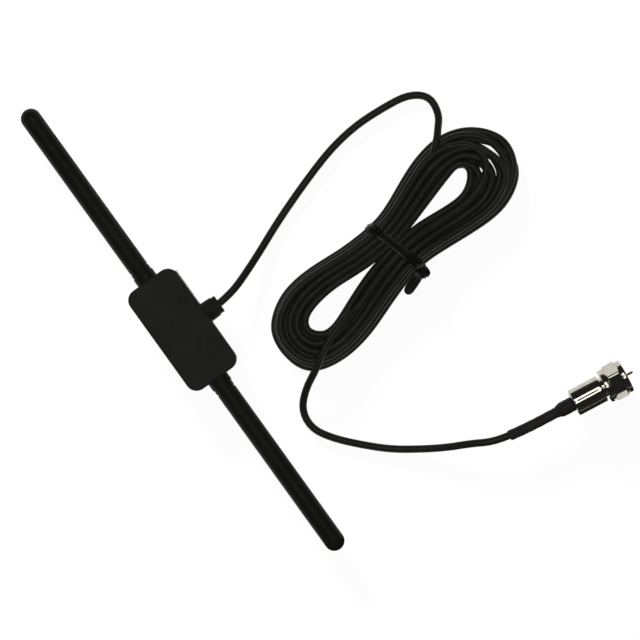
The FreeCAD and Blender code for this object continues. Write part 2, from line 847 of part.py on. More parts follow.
def make_hank():
    """Makes the wound cable's outer shape: two lobes with a gap in each, drawn in where the tie bites."""
    height = float(size.hank_height)
    upper = (float(size.upper_lobe_centre), float(size.upper_lobe_half_width), float(size.upper_lobe_cap))
    lower = (-float(size.lower_lobe_centre), float(size.lower_lobe_half_width), float(size.lower_lobe_cap))
    edges = lobe_outline(*upper) + lobe_outline(*lower)
    outline = Part.Wire(Part.__sortEdges__(edges))
    bundle = Part.Face(outline).extrude(Vector(0, 0, height))
    rims = [edge for edge in bundle.Edges if is_level(edge, 0) or is_level(edge, height)]
    bundle = bundle.makeFillet(float(size.hank_round), rims)
    gaps = [
        (float(size.upper_hole_start), float(size.upper_hole_end), float(size.upper_hole_radius)),
        (-float(size.lower_hole_start), -float(size.lower_hole_end), float(size.lower_hole_radius)),
    ]
    for start, end, radius in gaps:
        bundle = bundle.cut(hole_prism(start, end, radius, height))
    groove_width = float(size.tie_width + size.tie_clearance * 2)
    groove_depth = float(size.tie_thickness + size.tie_clearance)
    ring = tie_slice(groove_width).cut(waist_slab(groove_depth, 6 * float(size.waist_half_width)))
    return place_on_hank(add_shape("cable_hank", bundle.cut(ring)))


def strip(length, width, thickness):
    """Makes a flat strip from the origin along X with a round end, centred across and in height."""
    low = -thickness / 2
    bar = Part.makeBox(length, width, thickness, Vector(0, -width / 2, low))
    return bar.fuse(Part.makeCylinder(width / 2, thickness, Vector(length, 0, low)))


def make_tie():
    """Makes the tie: a band in the waist's groove, a loop end at one side, a twisted knob and a tail."""
    width = float(size.tie_width)
    thick = float(size.tie_thickness)
    side = float(size.waist_half_width)
    middle = float(size.hank_height) / 2
    band = waist_slab(0, 4 * side).cut(waist_slab(thick, 6 * side)).common(tie_slice(width))
    loop = strip(float(size.tie_loop_length), width, 2 * thick)
    loop.rotate(Vector(), Vector(0, 0, 1), 90)
    loop.translate(Vector(0, side - thick, middle))
    knob_radius = float(size.tie_knob_diameter) / 2
    knob_place = Vector(0, thick - side - knob_radius, middle)
    knob = Part.makeSphere(knob_radius, knob_place)
    tail = strip(float(size.tie_tail_length), width, 2 * thick)
    tail.rotate(Vector(), Vector(0, 0, 1), 180 + float(size.tie_tail_splay))
    tail.translate(knob_place - Vector(0, width / 4, 0))
    outside = on_tie(knob.fuse([tail, loop])).cut(waist_slab(thick, 6 * side))
    return place_on_hank(add_shape("cable_tie", band.fuse(outside).removeSplitter()))


def place_on_plug(piece):
    """Puts a piece that was modelled along X on the plug's axis."""
    piece.Placement.Rotation = FreeCAD.Rotation(Vector(0, 0, 1), float(size.plug_angle))
    bind(piece, "Placement.Base.x", size.plug_x)
    bind(piece, "Placement.Base.y", size.plug_y)
    bind(piece, "Placement.Base.z", size.plug_height)
    return piece


def make_plug_piece(label, corners):
    return place_on_plug(add_turned_body(label, "XZ_Plane", corners))


def make_sleeve():
    """Makes the shrink sleeve: snug on the cable, stepped up over the barrel's stub."""
    cable = size.cable_diameter / 2
    stub = size.stub_diameter / 2
    stub_start = sleeve_end - size.sleeve_grip
    return make_plug_piece("shrink_sleeve", [
        (0, cable),
        (0, size.sleeve_diameter / 2),
        (size.sleeve_length, size.sleeve_diameter / 2),
        (size.sleeve_length, size.sleeve_step_diameter / 2),
        (sleeve_end, size.sleeve_step_diameter / 2),
        (sleeve_end, stub),
        (stub_start, stub),
        (stub_start, cable),
    ])


def make_far_end():
    """Makes the cable's last stretch, through the sleeve and the stub to the back of the pin."""
    cable = size.cable_diameter / 2
    return make_plug_piece("cable_far_end", [(0, 0), (0, cable), (pin_start, cable), (pin_start, 0)])


def make_barrel():
    """Makes the plug's barrel: a stub for the sleeve, a conical back and a bore for the post."""
    outside = size.barrel_diameter / 2
    chamfer = size.barrel_chamfer
    cable = size.cable_diameter / 2
    stub = size.stub_diameter / 2
    post = size.post_tail_diameter / 2
    stub_start = sleeve_end - size.sleeve_grip
    return make_plug_piece("plug_barrel", [
        (stub_start, cable),
        (stub_start, stub),
        (sleeve_end, stub),
        (sleeve_end, size.sleeve_step_diameter / 2),
        (sleeve_end + size.barrel_cone_length, outside),
        (barrel_end - chamfer, outside),
        (barrel_end, outside - chamfer),
        (barrel_end, post),
        (pin_start, post),
        (pin_start, cable),
    ])


def make_post():
    """Makes the plug's post: a tail pressed into the barrel, the nut's neck and a rim that keeps it on."""
    bore = size.insulator_diameter / 2
    tail_start = barrel_end - size.post_tail_length
    return make_plug_piece("plug_post", [
        (tail_start, bore),
        (tail_start, size.post_tail_diameter / 2),
        (barrel_end, size.post_tail_diameter / 2),
        (barrel_end, size.neck_diameter / 2),
        (rim_start, size.neck_diameter / 2),
        (rim_start, size.post_rim_diameter / 2),
        (rim_end, size.post_rim_diameter / 2),
        (rim_end, bore),
    ])


def make_insulator():
    """Makes the plastic bush that centres the pin in the post."""
    start = barrel_end - size.post_tail_length
    bore = size.pin_shoulder_diameter / 2
    outside = size.insulator_diameter / 2
    corners = [(start, bore), (start, outside), (rim_end, outside), (rim_end, bore)]
    return make_plug_piece("plug_insulator", corners)


def make_pin():
    """Makes the centre pin: a shoulder in the bush, a thin contact and a blunt cone at its end."""
    contact = size.pin_diameter / 2
    shoulder = size.pin_shoulder_diameter / 2
    tip = nut_end + size.pin_reach
    return make_plug_piece("centre_pin", [
        (pin_start, 0),
        (pin_start, shoulder),
        (rim_end, shoulder),
        (rim_end, contact),
        (tip - contact, contact),
        (tip, contact / 2),
        (tip, 0),
    ])


def make_nut():
    """Makes the coupling nut: round, hexagon, round outside; back wall, rim room and thread bore inside."""
    body = add_body("coupling_nut")
    collar = size.nut_collar_diameter / 2
    hex_start = nut_start + size.nut_back_length
    hex_end = hex_start + size.nut_hex_length
    waist = size.nut_flats / 2 - size.nut_mouth_chamfer
    wall_end = nut_start + size.nut_back_wall
    chamfer = size.nut_mouth_chamfer
    neck_bore = size.neck_diameter / 2 + size.nut_running_clearance
    thread = size.nut_thread_bore / 2
    profile = add_sketch(body, "Profile", "XZ_Plane")
    add_polygon(profile, [
        (nut_start, neck_bore),
        (nut_start, collar - chamfer),
        (nut_start + chamfer, collar),
        (hex_start - chamfer, collar),
        (hex_start, waist),
        (hex_end, waist),
        (hex_end + chamfer, collar),
        (nut_end - chamfer, collar),
        (nut_end, collar - chamfer),
        (nut_end, thread + chamfer),
        (nut_end - chamfer, thread),
        (wall_end, thread),
        (wall_end, neck_bore),
    ])
    add_revolution(body, profile)
    corner = size.nut_flats / math.sqrt(3)
    hexagon = add_sketch(body, "Hexagon", "YZ_Plane", hex_start)
    turns = [math.radians(float(size.nut_roll) + 60 * number) for number in range(6)]
    add_polygon(hexagon, [(corner * math.cos(turn), corner * math.sin(turn)) for turn in turns])
    add_circle(hexagon, 0, 0, size.nut_thread_bore + chamfer * 2)
    add_feature(body, "Pad", "HexagonPad", hexagon, size.nut_hex_length)
    return place_on_plug(body)


def make_cord_tube(label, points):
    """Makes a free stretch of the cable and prints its length and bends."""
    tube, length, radii = make_tube(points, float(size.cable_diameter))
    print(label, f"{length:.1f} mm, radii", " ".join(f"{radius:.1f}" for radius in radii))
    return add_shape(label, tube)


def make_pieces():
    """Makes every piece of the antenna."""
    liner_top = size.liner_thickness
    return [
        make_case_bottom(),
        make_case_top(),
        make_back("release_liner", ZERO, ZERO, liner_top),
        make_back("adhesive_pad", size.foam_margin, liner_top, size.foam_thickness),
        make_arm_cover("arm_cover_right", 1),
        make_arm_cover("arm_cover_left", -1),
        make_arm_rod("arm_rod_right", 1),
        make_arm_rod("arm_rod_left", -1),
        make_board(),
        make_balun_core(),
        make_balun_winding(),
        make_chip_parts(),
        make_solder_joints(),
        make_gland(),
        make_cable_layer("cable_inlet", jacket_end, gland_end, size.cable_diameter),
        make_cable_layer("cable_dielectric", conductor_start, jacket_end, size.dielectric_diameter),
        make_cable_layer("cable_conductor", conductor_end, conductor_start, size.conductor_diameter),
        make_braid_tail(),
        make_cord_tube("cable_lead", [lead_start, lead_turn] + [Vector(*point) for point in LEAD_POINTS]),
        make_hank(),
        make_tie(),
        make_cord_tube("cable_tail", [Vector(*point) for point in TAIL_POINTS] + [plug_turn, plug_start]),
        make_sleeve(),
        make_far_end(),
        make_barrel(),
        make_post(),
        make_insulator(),
        make_pin(),
        make_nut(),
    ]


def main():
    pieces = make_pieces()
    DOC.recompute()
    failed = [thing.Label for thing in DOC.Objects if {"Invalid", "Error"} & set(thing.State)]
    broken = [piece.Label for piece in pieces if piece.Shape.isNull() or not piece.Shape.isValid()]
    if failed or broken:
        raise ValueError(f"failed: {failed}, broken: {broken}")
    os.makedirs("parts", exist_ok=True)
    for piece in pieces:
        piece.Shape.exportStep(f"parts/{piece.Label}.step")
        print(piece.Label, f"{piece.Shape.Volume:.2f} mm3,", len(piece.Shape.Solids), "solid(s)")


main()
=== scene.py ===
"""Dipole antenna: looks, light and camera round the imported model, in metres.

The pieces lie as in the model's own frame: +X along the dipole, +Y out of the gland, +Z up.
"""
import math
import random

import bmesh
import bpy
from mathutils import Matrix, Vector


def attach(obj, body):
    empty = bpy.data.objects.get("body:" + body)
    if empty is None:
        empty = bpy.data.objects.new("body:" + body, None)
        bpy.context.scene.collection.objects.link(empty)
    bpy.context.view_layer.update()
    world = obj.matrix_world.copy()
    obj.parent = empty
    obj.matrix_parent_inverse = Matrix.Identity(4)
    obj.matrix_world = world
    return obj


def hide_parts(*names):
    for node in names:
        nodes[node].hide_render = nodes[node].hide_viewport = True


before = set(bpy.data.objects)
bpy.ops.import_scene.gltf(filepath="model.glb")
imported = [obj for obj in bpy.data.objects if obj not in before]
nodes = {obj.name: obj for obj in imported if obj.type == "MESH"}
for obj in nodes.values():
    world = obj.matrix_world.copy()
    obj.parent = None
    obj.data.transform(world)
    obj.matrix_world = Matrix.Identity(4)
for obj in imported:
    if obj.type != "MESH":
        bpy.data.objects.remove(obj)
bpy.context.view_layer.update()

MM = 0.001

# Camera: straight down on the field's centre, the dipole running to the lower right
FIELD_CENTRE = Vector((23.85, 38.67, 6.0)) * MM
FIELD_WIDTH = 211.2 * MM
CAMERA_DISTANCE = 1.2
CAMERA_TURN = math.radians(54.29)
SENSOR = 36.0

# Light: the room's level by the height of the look
WORLD_LEVELS = [(0.0, 0.06), (0.08, 0.02), (1.0, 0.015)]

# Lamps: name, tilt in degrees, place along the plug's axis, distance, width, length, watts, and whether
# reflections show it; the strips and the bridges between them make a frame round a dark gap
SOFTBOXES = [
    ("near_strip", -8.6, 0.0, 1.3, 0.244, 0.4, 0.51, True),
    ("far_strip", 17.25, 0.0, 1.3, 0.34, 0.4, 0.74, True),
    ("near_bridge", 3.3, 0.084, 1.3, 0.285, 0.052, 0.078, True),
    ("far_bridge", 3.3, 0.191, 1.3, 0.285, 0.06, 0.09, True),
    ("floor_lamp", 70.0, 0.0, 1.3, 0.30, 0.30, 33.0, False),
    ("object_lamp", 0.0, 0.0, 1.3, 0.4, 0.4, 18.0, False),
]

# Lamps that light the floor alone, or all but the floor
FLOOR_LINKS = {"floor_lamp": "INCLUDE", "object_lamp": "EXCLUDE"}

# Floor: how pale it is and how much it glows, for plain light, in reflections and where the camera sees it
FLOOR_HALF = 3.0
FLOOR_PLAIN = (0.8, 0.0)
FLOOR_MIRRORED = (0.05, 0.68)
FLOOR_SEEN = (0.08, 0.96)

# Painted shade: a dark sheet beside the plug that only reflections show, standing in for the floor's shadow
# there;
# its outline runs along and across the plug's axis, in metres, with a notch beside the nut's hexagon
PAINTED_SHADE_OUTLINE = [
    (-0.2, -0.25),
    (0.3, -0.25),
    (0.3, -0.004),
    (0.0416, -0.004),
    (0.0416, -0.016),
    (0.0366, -0.016),
    (0.0366, -0.004),
    (-0.2, -0.004),
]
CARD_HEIGHT = 1.0 * MM
# Colour of the painted shade: the dark of the floor's shadow as the plug's reflections show it
PAINTED_SHADE_COLOUR = (0.012, 0.012, 0.0072, 1.0)

# Cable, and the ways of its free ends in millimetres
CABLE = 2.54 * MM
LEAD_POINTS = [
    (0, 14.95, 6.0),
    (-0.5, 20.4, 6.0),
    (-2.65, 26.8, 4.6),
    (-5.95, 35.2, 2.4),
    (-9.85, 44.2, 1.4),
    (-13.45, 53.7, 1.3),
    (-17.0, 64.2, 1.3),
    (-20.1, 74.8, 1.3),
    (-21.6, 85.95, 1.3),
    (-21.0, 97.0, 1.3),
    (-19.75, 106.0, 1.3),
    (-15.25, 111.5, 1.3),
    (-8.4, 110.5, 2.1),
]
TAIL_POINTS = [
    (36.4, 28.0, 8.2),
    (39.45, 21.7, 4.7),
    (44.45, 16.3, 2.1),
    (51.45, 15.4, 1.3),
    (58.15, 19.25, 1.3),
    (65.35, 25.65, 1.3),
    (72.3, 32.7, 1.5),
    (78.15, 40.97, 2.4),
    (82.75, 48.45, 3.9),
    (86.05, 55.35, 5.6),
    (90.0, 61.85, 6.45),
    (91.2, 67.16, 6.45),
]

# Hank: its middle, its length direction, and stations along its innermost and outermost strands, as along
# and across in millimetres: from the waist's right side down to the lower end, up the left side and over
# the upper end
HANK_MIDDLE = Vector((18.87, 71.55, 0)) * MM
HANK_ALONG = Vector((math.cos(math.radians(98.89)), math.sin(math.radians(98.89)), 0))
HANK_ACROSS = Vector((-HANK_ALONG.y, HANK_ALONG.x, 0))
INNER_LINE = [
    (2.0, -0.1),
    (-10.0, -0.8),
    (-22.0, -3.3),
    (-30.5, -5.1),
    (-35.8, -4.2),
    (-38.5, 0.2),
    (-36.4, 3.9),
    (-31.0, 5.4),
    (-22.0, 5.1),
    (-10.0, 2.5),
    (2.0, 1.4),
    (12.0, 2.35),
    (22.0, 3.95),
    (30.5, 5.2),
    (35.0, 4.9),
    (36.6, 1.5),
    (34.0, -1.6),
    (29.0, -3.65),
    (22.0, -2.9),
    (12.0, -0.75),
]
OUTER_LINE = [
    (2.0, -9.6),
    (-12.0, -11.4),
    (-24.0, -13.65),
    (-36.0, -13.6),
    (-46.4, -9.4),
    (-49.0, -0.8),
    (-46.3, 8.9),
    (-36.0, 14.2),
    (-24.0, 13.8),
    (-12.0, 11.05),
    (2.0, 9.6),
    (12.0, 11.3),
    (24.0, 14.5),
    (36.0, 15.1),
    (46.3, 10.4),
    (52.6, 0.2),
    (48.7, -10.5),
    (36.6, -15.3),
    (24.0, -13.85),
    (12.0, -11.05),
]

# Places of the turns: share of the bundle's width and layer
LAYERS = 3
COLUMNS = 4
OUTER_PAIR = [(1.0, 0.0), (0.89, 0.95)]
TOP_SLOT = (0.3, 3.0)
GROUP_WIDTH = 0.79
FANNED_WIDTH = 0.63
TURNS = 14
TURN_POINTS = 40
FIRST_POINT = 2
POINTS_PAST_LAST_TURN = 5

# Way of each turn: where it steps to the next place and fans out, as shares of a turn, and how far it
# sways, as a share of the bundle's width; then how the tie holds and lifts it, with pitches in cable
# widths and the other heights in millimetres
STEP_SPAN = (0.64, 0.86)
FAN_OPENS = (0.63, 0.67)
FAN_CLOSES = (0.75, 0.81)
SWAY_TWICE = 0.022
SWAY_THRICE = 0.016
SWAY_HELD_BY_TIE = 0.8
SWAY_HELD_IN_PAIR = 0.7
WAIST_REACH = 14.0
WAIST_LIFT = 0.5
WAIST_PITCH = 0.75
LAYER_PITCH = 0.8
LAYER_WAVE = 0.15
WAVE_LAYERS = (0.2, 1.0)

# The lead's way over the outer turns and under the rest, and the tail's way over the end: along, across, up
LEAD_DIVE = [
    (38.6, 17.6, 4.2),
    (36.8, 16.1, 5.7),
    (35.0, 14.9, 6.2),
    (33.0, 13.7, 6.0),
    (30.8, 12.5, 4.4),
    (26.5, 11.0, 2.0),
    (20.0, 9.0, 1.4),
    (13.0, 6.6, 1.6),
    (6.5, 3.4, 1.9),
    (0.0, 0.4, 2.0),
    (-6.5, -1.6, 1.9),
]
TAIL_LEAVE = [
    (-26.0, -5.0, 8.6),
    (-33.0, -6.0, 9.0),
    (-39.5, -7.6, 9.2),
]

# Tie: its ring round the waist, in millimetres
TIE_WIDTH = 3.2
TIE_MIDDLE = 1.5
TIE_SKEW = math.tan(math.radians(7.5))
TIE_HALF_WIDTH = 11.15
TIE_LOW = 0.3
TIE_HIGH = 11.35
TIE_SQUARENESS = 2.9
TIE_TOP_SQUARENESS = 2.55
TIE_SIDES = 72

# Section of the tie: share of the half width, and lift in millimetres, with a wire core in the middle
TIE_SECTION = [
    (-1.0, 0.0),
    (-0.95, 0.14),
    (-0.5, 0.17),
    (-0.26, 0.24),
    (-0.14, 0.42),
    (0.0, 0.48),
    (0.14, 0.42),
    (0.26, 0.24),
    (0.5, 0.17),
    (0.95, 0.14),
    (1.0, 0.0),
    (0.95, -0.14),
    (0.5, -0.17),
    (0.26, -0.22),
    (0.0, -0.3),
    (-0.26, -0.22),
    (-0.5, -0.17),
    (-0.95, -0.14),
]

# The tie's ends, folded into a tab and run out into a tail beside the hank: along, across, up and width
TIE_FOLDS = [
    [
        (2.5, -10.9, 6.2, 3.2),
        (2.5, -12.4, 6.4, 3.3),
        (2.4, -13.6, 6.2, 3.1),
        (2.4, -14.2, 5.9, 2.5),
        (2.4, -14.6, 5.5, 1.0),
    ],
    [
        (2.6, -10.9, 5.0, 3.2),
        (2.6, -12.2, 5.1, 3.4),
        (2.5, -13.4, 5.3, 3.2),
        (2.4, -14.2, 5.5, 2.4),
        (2.4, -14.5, 5.5, 1.0),
    ],
]
TIE_TAIL = [
    (2.2, -12.0, 5.9, 2.6),
    (0.8, -12.2, 6.5, 3.0),
    (-1.0, -12.5, 6.3, 3.3),
    (-3.0, -12.9, 5.8, 3.4),
    (-5.0, -13.3, 5.4, 3.3),
    (-6.0, -13.5, 5.3, 2.9),
    (-6.6, -13.6, 5.2, 2.1),
    (-6.95, -13.7, 5.2, 0.8),
]
TIE_TAIL_SLANT = -0.2

# The wrap round those ends: its middle and reach along, across and up
WRAP_MIDDLE = (1.3, -12.4, 5.9)
WRAP_REACH = (0.25, 1.75, 1.05)
WRAP_WIDTH = 1.3
WRAP_SIDES = 24

# Plug: its place and heading, then radii and places along its own axis, from the start of the sleeve,
# in millimetres
PLUG_START = Vector((91.86, 67.26, 6.45)) * MM
PLUG_FRAME = Matrix.Translation(PLUG_START) @ Matrix.Rotation(math.radians(82.35), 4, "Z")
PLUG_BORE = 1.3
SLEEVE_START = -0.3
SLEEVE_END = 23.1
SLEEVE_MOUTH = 1.72
SLEEVE_RADIUS = 1.76
SLEEVE_SWELL = (16.9, 19.2)
SLEEVE_SWOLLEN = 2.45
SLEEVE_MOUTH_EDGE = 0.25
SLEEVE_END_EDGE = 0.12
SLEEVE_OUTSIDE = (1.5, 1.7)
SLEEVE_BEND = 0.5
SLEEVE_BEND_LENGTH = 12.0
SLEEVE_SIDES = 48
STUB_START = 18.1
STUB_RADIUS = 1.95
BARREL_BACK_RADIUS = 2.35
BARREL_BACK_EDGE = 0.35
BARREL_CONE_END = 23.65
BARREL_END = 34.1
BARREL_RADIUS = 4.55
BARREL_FRONT_EDGE = 0.4
BARREL_EDGE_STEPS = 8
BARREL_WALL = 24.5
BARREL_SIDES = 128
POST_RADIUS = 2.6
NUT_START = 35.0
NUT_HEX_START = 36.7
NUT_HEX_END = 41.5
NUT_END = 43.1
NUT_COLLAR = 5.65
NUT_EDGE = 0.3
NUT_EDGE_STEP = 0.06
NUT_EDGE_RINGS = 6
NUT_FLAT = 5.55
NUT_CORNER = 6.28
NUT_CUT_DROP = 0.25
NUT_CUT_SLOPE = 1.6
NUT_CUT_GAP = 0.0005
NUT_CUT_STEP = 0.08
NUT_CUT_RINGS = 9
NUT_ROLL = math.radians(7)
NUT_BORE = 3.3
NUT_WALL_END = 36.2
NUT_SIDES = 180
THREAD_START = 37.7
THREAD_STOP = 0.4
THREAD_MINOR = 4.35
THREAD_DEPTH = 0.36
THREAD_PITCH = 0.794
THREAD_STEPS = 6
THREAD_FADE = 0.8

# The nut's mouth: depth from its end, and how far it is wider than the thread
NUT_MOUTH = [(0.0, 0.65), (0.3, 0.35)]

# Stations along the sleeve and the barrel: start, step and count
SLEEVE_THIN_RUN = (0.5, 0.5, 32)
SLEEVE_SWELL_RUN = (16.6, 0.25, 13)
SLEEVE_SWOLLEN_RUN = (20.4, 0.4, 6)
BARREL_RUN = (25.2, 0.8, 10)

# Ripples of the sleeve: height, waves along and waves round
SLEEVE_RIPPLES = [(0.025, 1.9, 2), (0.02, 4.3, -3)]

# Edges sharper than this stay sharp in shading
SHARP_ANGLE = math.radians(38)

# The span that most of a cloudy noise keeps to
NOISE_SPAN = (0.3, 0.7)

# Finish of each of the model's own nodes that no piece here replaces
NODE_FINISH = {
    "case_bottom": "case_plastic",
    "case_top": "case_plastic",
    "arm_cover_left": "arm_plastic",
    "arm_cover_right": "arm_plastic",
    "cable_gland": "gland_rubber",
    "cable_inlet": "cable_jacket",
    "cable_far_end": "cable_jacket",
    "adhesive_pad": "pad_foam",
    "release_liner": "liner_paper",
    "arm_rod_left": "rod_steel",
    "arm_rod_right": "rod_steel",
    "circuit_board": "board_laminate",
    "balun_core": "ferrite",
    "balun_winding": "copper",
    "cable_conductor": "copper",
    "cable_braid_tail": "copper",
    "chip_parts": "chip_ceramic",
    "solder_joints": "solder",
    "cable_dielectric": "dielectric",
    "plug_insulator": "dielectric",
    "plug_post": "plug_nickel",
    "centre_pin": "pin_brass",
}

rng = random.Random(11)


def mix(low, high, share):
    return low + (high - low) * share


def ease(value, low, high):
    """Rises smoothly from 0 at low to 1 at high."""
    share = min(max((value - low) / (high - low), 0.0), 1.0)
    return share * share * (3 - 2 * share)


def bell(value, middle, reach):
    return math.exp(-((value - middle) / reach) ** 2)


def spaced(start, step, count):
    return [start + step * number for number in range(count)]


def round_angles(count):
    return [math.tau * number / count for number in range(count)]


def link(thing):
    bpy.context.scene.collection.objects.link(thing)
    return thing


def hank_point(along, across, up):
    """Places a point given in the hank's own directions, in millimetres."""
    return HANK_MIDDLE + (HANK_ALONG * along + HANK_ACROSS * across + Vector((0, 0, up))) * MM


def winding_slots():
    """Gives each turn's share of the bundle's width, from the inside, its layer, and 1 if it is loose."""
    slots = []
    for layer in range(LAYERS):
        nest = 0.5 if layer % 2 else 0.0
        columns = [min((number + nest) / (COLUMNS - 1), 1.0) for number in range(COLUMNS)]
        if nest:
            columns.reverse()
        slots += [(column, layer, 0.0) for column in columns]
        if layer == 0:
            slots += [(share, height, 1.0) for share, height in OUTER_PAIR]
    return slots + [(*TOP_SLOT, 0.0)]


def line_place(line, share):
    """Gives a place on a closed line by the share of the way round, on smooth arcs through its stations."""
    count = len(line)
    number, part = divmod(share * count, 1.0)
    ends = [Vector(line[(int(number) + step) % count]) for step in (-1, 0, 1, 2)]
    before, start, end, after = ends
    leave = (end - before) / 2
    arrive = (after - start) / 2
    square = part * part
    cube = square * part
    return (start * (2 * cube - 3 * square + 1) + leave * (cube - 2 * square + part)
            + end * (3 * square - 2 * cube) + arrive * (cube - square))


def hank_points():
    """Winds the hank: each turn steps to its next slot at the upper end, where the outer pair stands off."""
    slots = winding_slots()
    drift = [[rng.uniform(0, math.tau) for _ in range(3)] for _ in slots]
    cable = CABLE / MM
    points = []
    for number in range(FIRST_POINT, TURNS * TURN_POINTS + POINTS_PAST_LAST_TURN):
        turn, part = divmod(number, TURN_POINTS)
        way = part / TURN_POINTS
        angle = math.tau * way
        step = ease(way, *STEP_SPAN)
        following = min(turn + 1, len(slots) - 1)
        column, layer, loose = (mix(one, other, step) for one, other in zip(slots[turn], slots[following]))
        first, second, third = (mix(one, other, step) for one, other in zip(drift[turn], drift[following]))
        inner = line_place(INNER_LINE, way)
        near_tie = bell(inner[0], TIE_MIDDLE, WAIST_REACH)
        fan = ease(way, *FAN_OPENS) * (1 - ease(way, *FAN_CLOSES))
        share = mix(column * mix(GROUP_WIDTH, FANNED_WIDTH, fan), column, loose)
        sway = SWAY_TWICE * math.sin(2 * angle + first) + SWAY_THRICE * math.sin(3 * angle + second)
        share += sway * (1 - SWAY_HELD_BY_TIE * near_tie) * (1 - SWAY_HELD_IN_PAIR * loose)
        along, across = inner.lerp(line_place(OUTER_LINE, way), share)
        pitch = mix(LAYER_PITCH, WAIST_PITCH, near_tie) * cable
        up = cable / 2 + near_tie * (WAIST_LIFT + WAIST_PITCH * cable) + layer * pitch
        up += LAYER_WAVE * (1 + math.sin(2 * angle + third)) * ease(layer, *WAVE_LAYERS)
        points.append(hank_point(along, across, up))
    return points


def make_cable():
    """Makes the whole cable as one smooth line: lead, hank, tail."""
    points = [Vector(point) * MM for point in LEAD_POINTS]
    points += [hank_point(*place) for place in LEAD_DIVE]
    points += hank_points()
    points += [hank_point(*place) for place in TAIL_LEAVE]
    points += [Vector(point) * MM for point in TAIL_POINTS]
    curve = bpy.data.curves.new("cable", "CURVE")
    curve.dimensions = "3D"
    spline = curve.splines.new("NURBS")
    spline.points.add(len(points) - 1)
    for place, point in zip(spline.points, points):
        place.co = (*point, 1.0)
    spline.order_u = 3
    spline.use_endpoint_u = True
    spline.resolution_u = 4
    curve.bevel_depth = CABLE / 2
    curve.bevel_resolution = 5
    return link(bpy.data.objects.new("cable", curve))


def set_camera():
    """Looks straight down; the image's right is CAMERA_TURN from +X."""
    data = bpy.data.cameras.new("camera")
    data.sensor_width = SENSOR
    data.lens = SENSOR * CAMERA_DISTANCE / FIELD_WIDTH
    camera = link(bpy.data.objects.new("camera", data))
    camera.location = FIELD_CENTRE + Vector((0, 0, CAMERA_DISTANCE))
    camera.rotation_euler = (0, 0, CAMERA_TURN)
    bpy.context.scene.camera = camera


def skin(name, rings, closed=False, frame_matrix=None):
    """Skins a run of rings given in millimetres; an open run gets end caps."""
    count = len(rings[0])
    faces = []
    for number in range(len(rings) if closed else len(rings) - 1):
        here = number * count
        there = (number + 1) % len(rings) * count
        for corner in range(count):
            beside = (corner + 1) % count
            faces.append((here + corner, here + beside, there + beside, there + corner))
    if not closed:
        last = (len(rings) - 1) * count
        faces.append(tuple(range(count)))
        faces.append(tuple(last + corner for corner in range(count)))
    mesh = bpy.data.meshes.new(name)
    mesh.from_pydata([Vector(corner) * MM for ring in rings for corner in ring], [], faces)
    work = bmesh.new()
    work.from_mesh(mesh)
    bmesh.ops.recalc_face_normals(work, faces=work.faces)
    work.to_mesh(mesh)
    work.free()
    mesh.shade_smooth()
    mesh.set_sharp_from_angle(angle=SHARP_ANGLE)
    piece = link(bpy.data.objects.new(name, mesh))
    if frame_matrix is not None:
        piece.matrix_world = frame_matrix
    return piece


def rounded(start, corner, end, radius, steps=5):
    """Gives the points of a rounded corner of a profile."""
    start, corner, end = Vector(start), Vector(corner), Vector(end)
    leave = corner + (start - corner).normalized() * radius
    arrive = corner + (end - corner).normalized() * radius
    points = []
    for step in range(steps + 1):
        share = step / steps
        points.append(tuple(leave.lerp(corner, share).lerp(corner.lerp(arrive, share), share)))
    return points


def lathe(name, profile, sides, middle=None, ripple=None):
    """Turns a closed profile of along and radius round the plug's axis, which may bend and ripple."""
    rings = []
    for along, radius in profile:
        offset = middle(along) if middle else 0.0
        ring = []
        for angle in round_angles(sides):
            reach = radius + (ripple(along, angle, radius) if ripple else 0.0)
            ring.append((along, offset + reach * math.cos(angle), reach * math.sin(angle)))
        rings.append(ring)
    return skin(name, rings, True, PLUG_FRAME)


def make_sleeve():
    """Makes the shrink sleeve: it bends with the cable, swells over the stub and has shrink ripples."""
    def middle(along):
        return SLEEVE_BEND * (1 - min(max(along, 0.0) / SLEEVE_BEND_LENGTH, 1.0)) ** 2

    def ripple(along, angle, radius):
        waves = [height * math.sin(lengthwise * along + roundwise * angle)
                 for height, lengthwise, roundwise in SLEEVE_RIPPLES]
        return ease(radius, *SLEEVE_OUTSIDE) * sum(waves)

    bore = (SLEEVE_START, PLUG_BORE)
    mouth = (SLEEVE_START, SLEEVE_MOUTH)
    thin = (3.0, SLEEVE_RADIUS)
    swollen = (22.6, SLEEVE_SWOLLEN)
    end = (SLEEVE_END, SLEEVE_SWOLLEN)
    stub = (SLEEVE_END, STUB_RADIUS)
    profile = rounded(bore, mouth, thin, SLEEVE_MOUTH_EDGE)
    profile += [(along, SLEEVE_RADIUS) for along in spaced(*SLEEVE_THIN_RUN)]
    for along in spaced(*SLEEVE_SWELL_RUN):
        profile.append((along, mix(SLEEVE_RADIUS, SLEEVE_SWOLLEN, ease(along, *SLEEVE_SWELL))))
    profile += [(along, SLEEVE_SWOLLEN) for along in spaced(*SLEEVE_SWOLLEN_RUN)]
    profile += rounded(swollen, end, stub, SLEEVE_END_EDGE)
    profile += [stub, (STUB_START, STUB_RADIUS), (STUB_START, PLUG_BORE)]
    return lathe("sleeve", profile, SLEEVE_SIDES, middle, ripple)


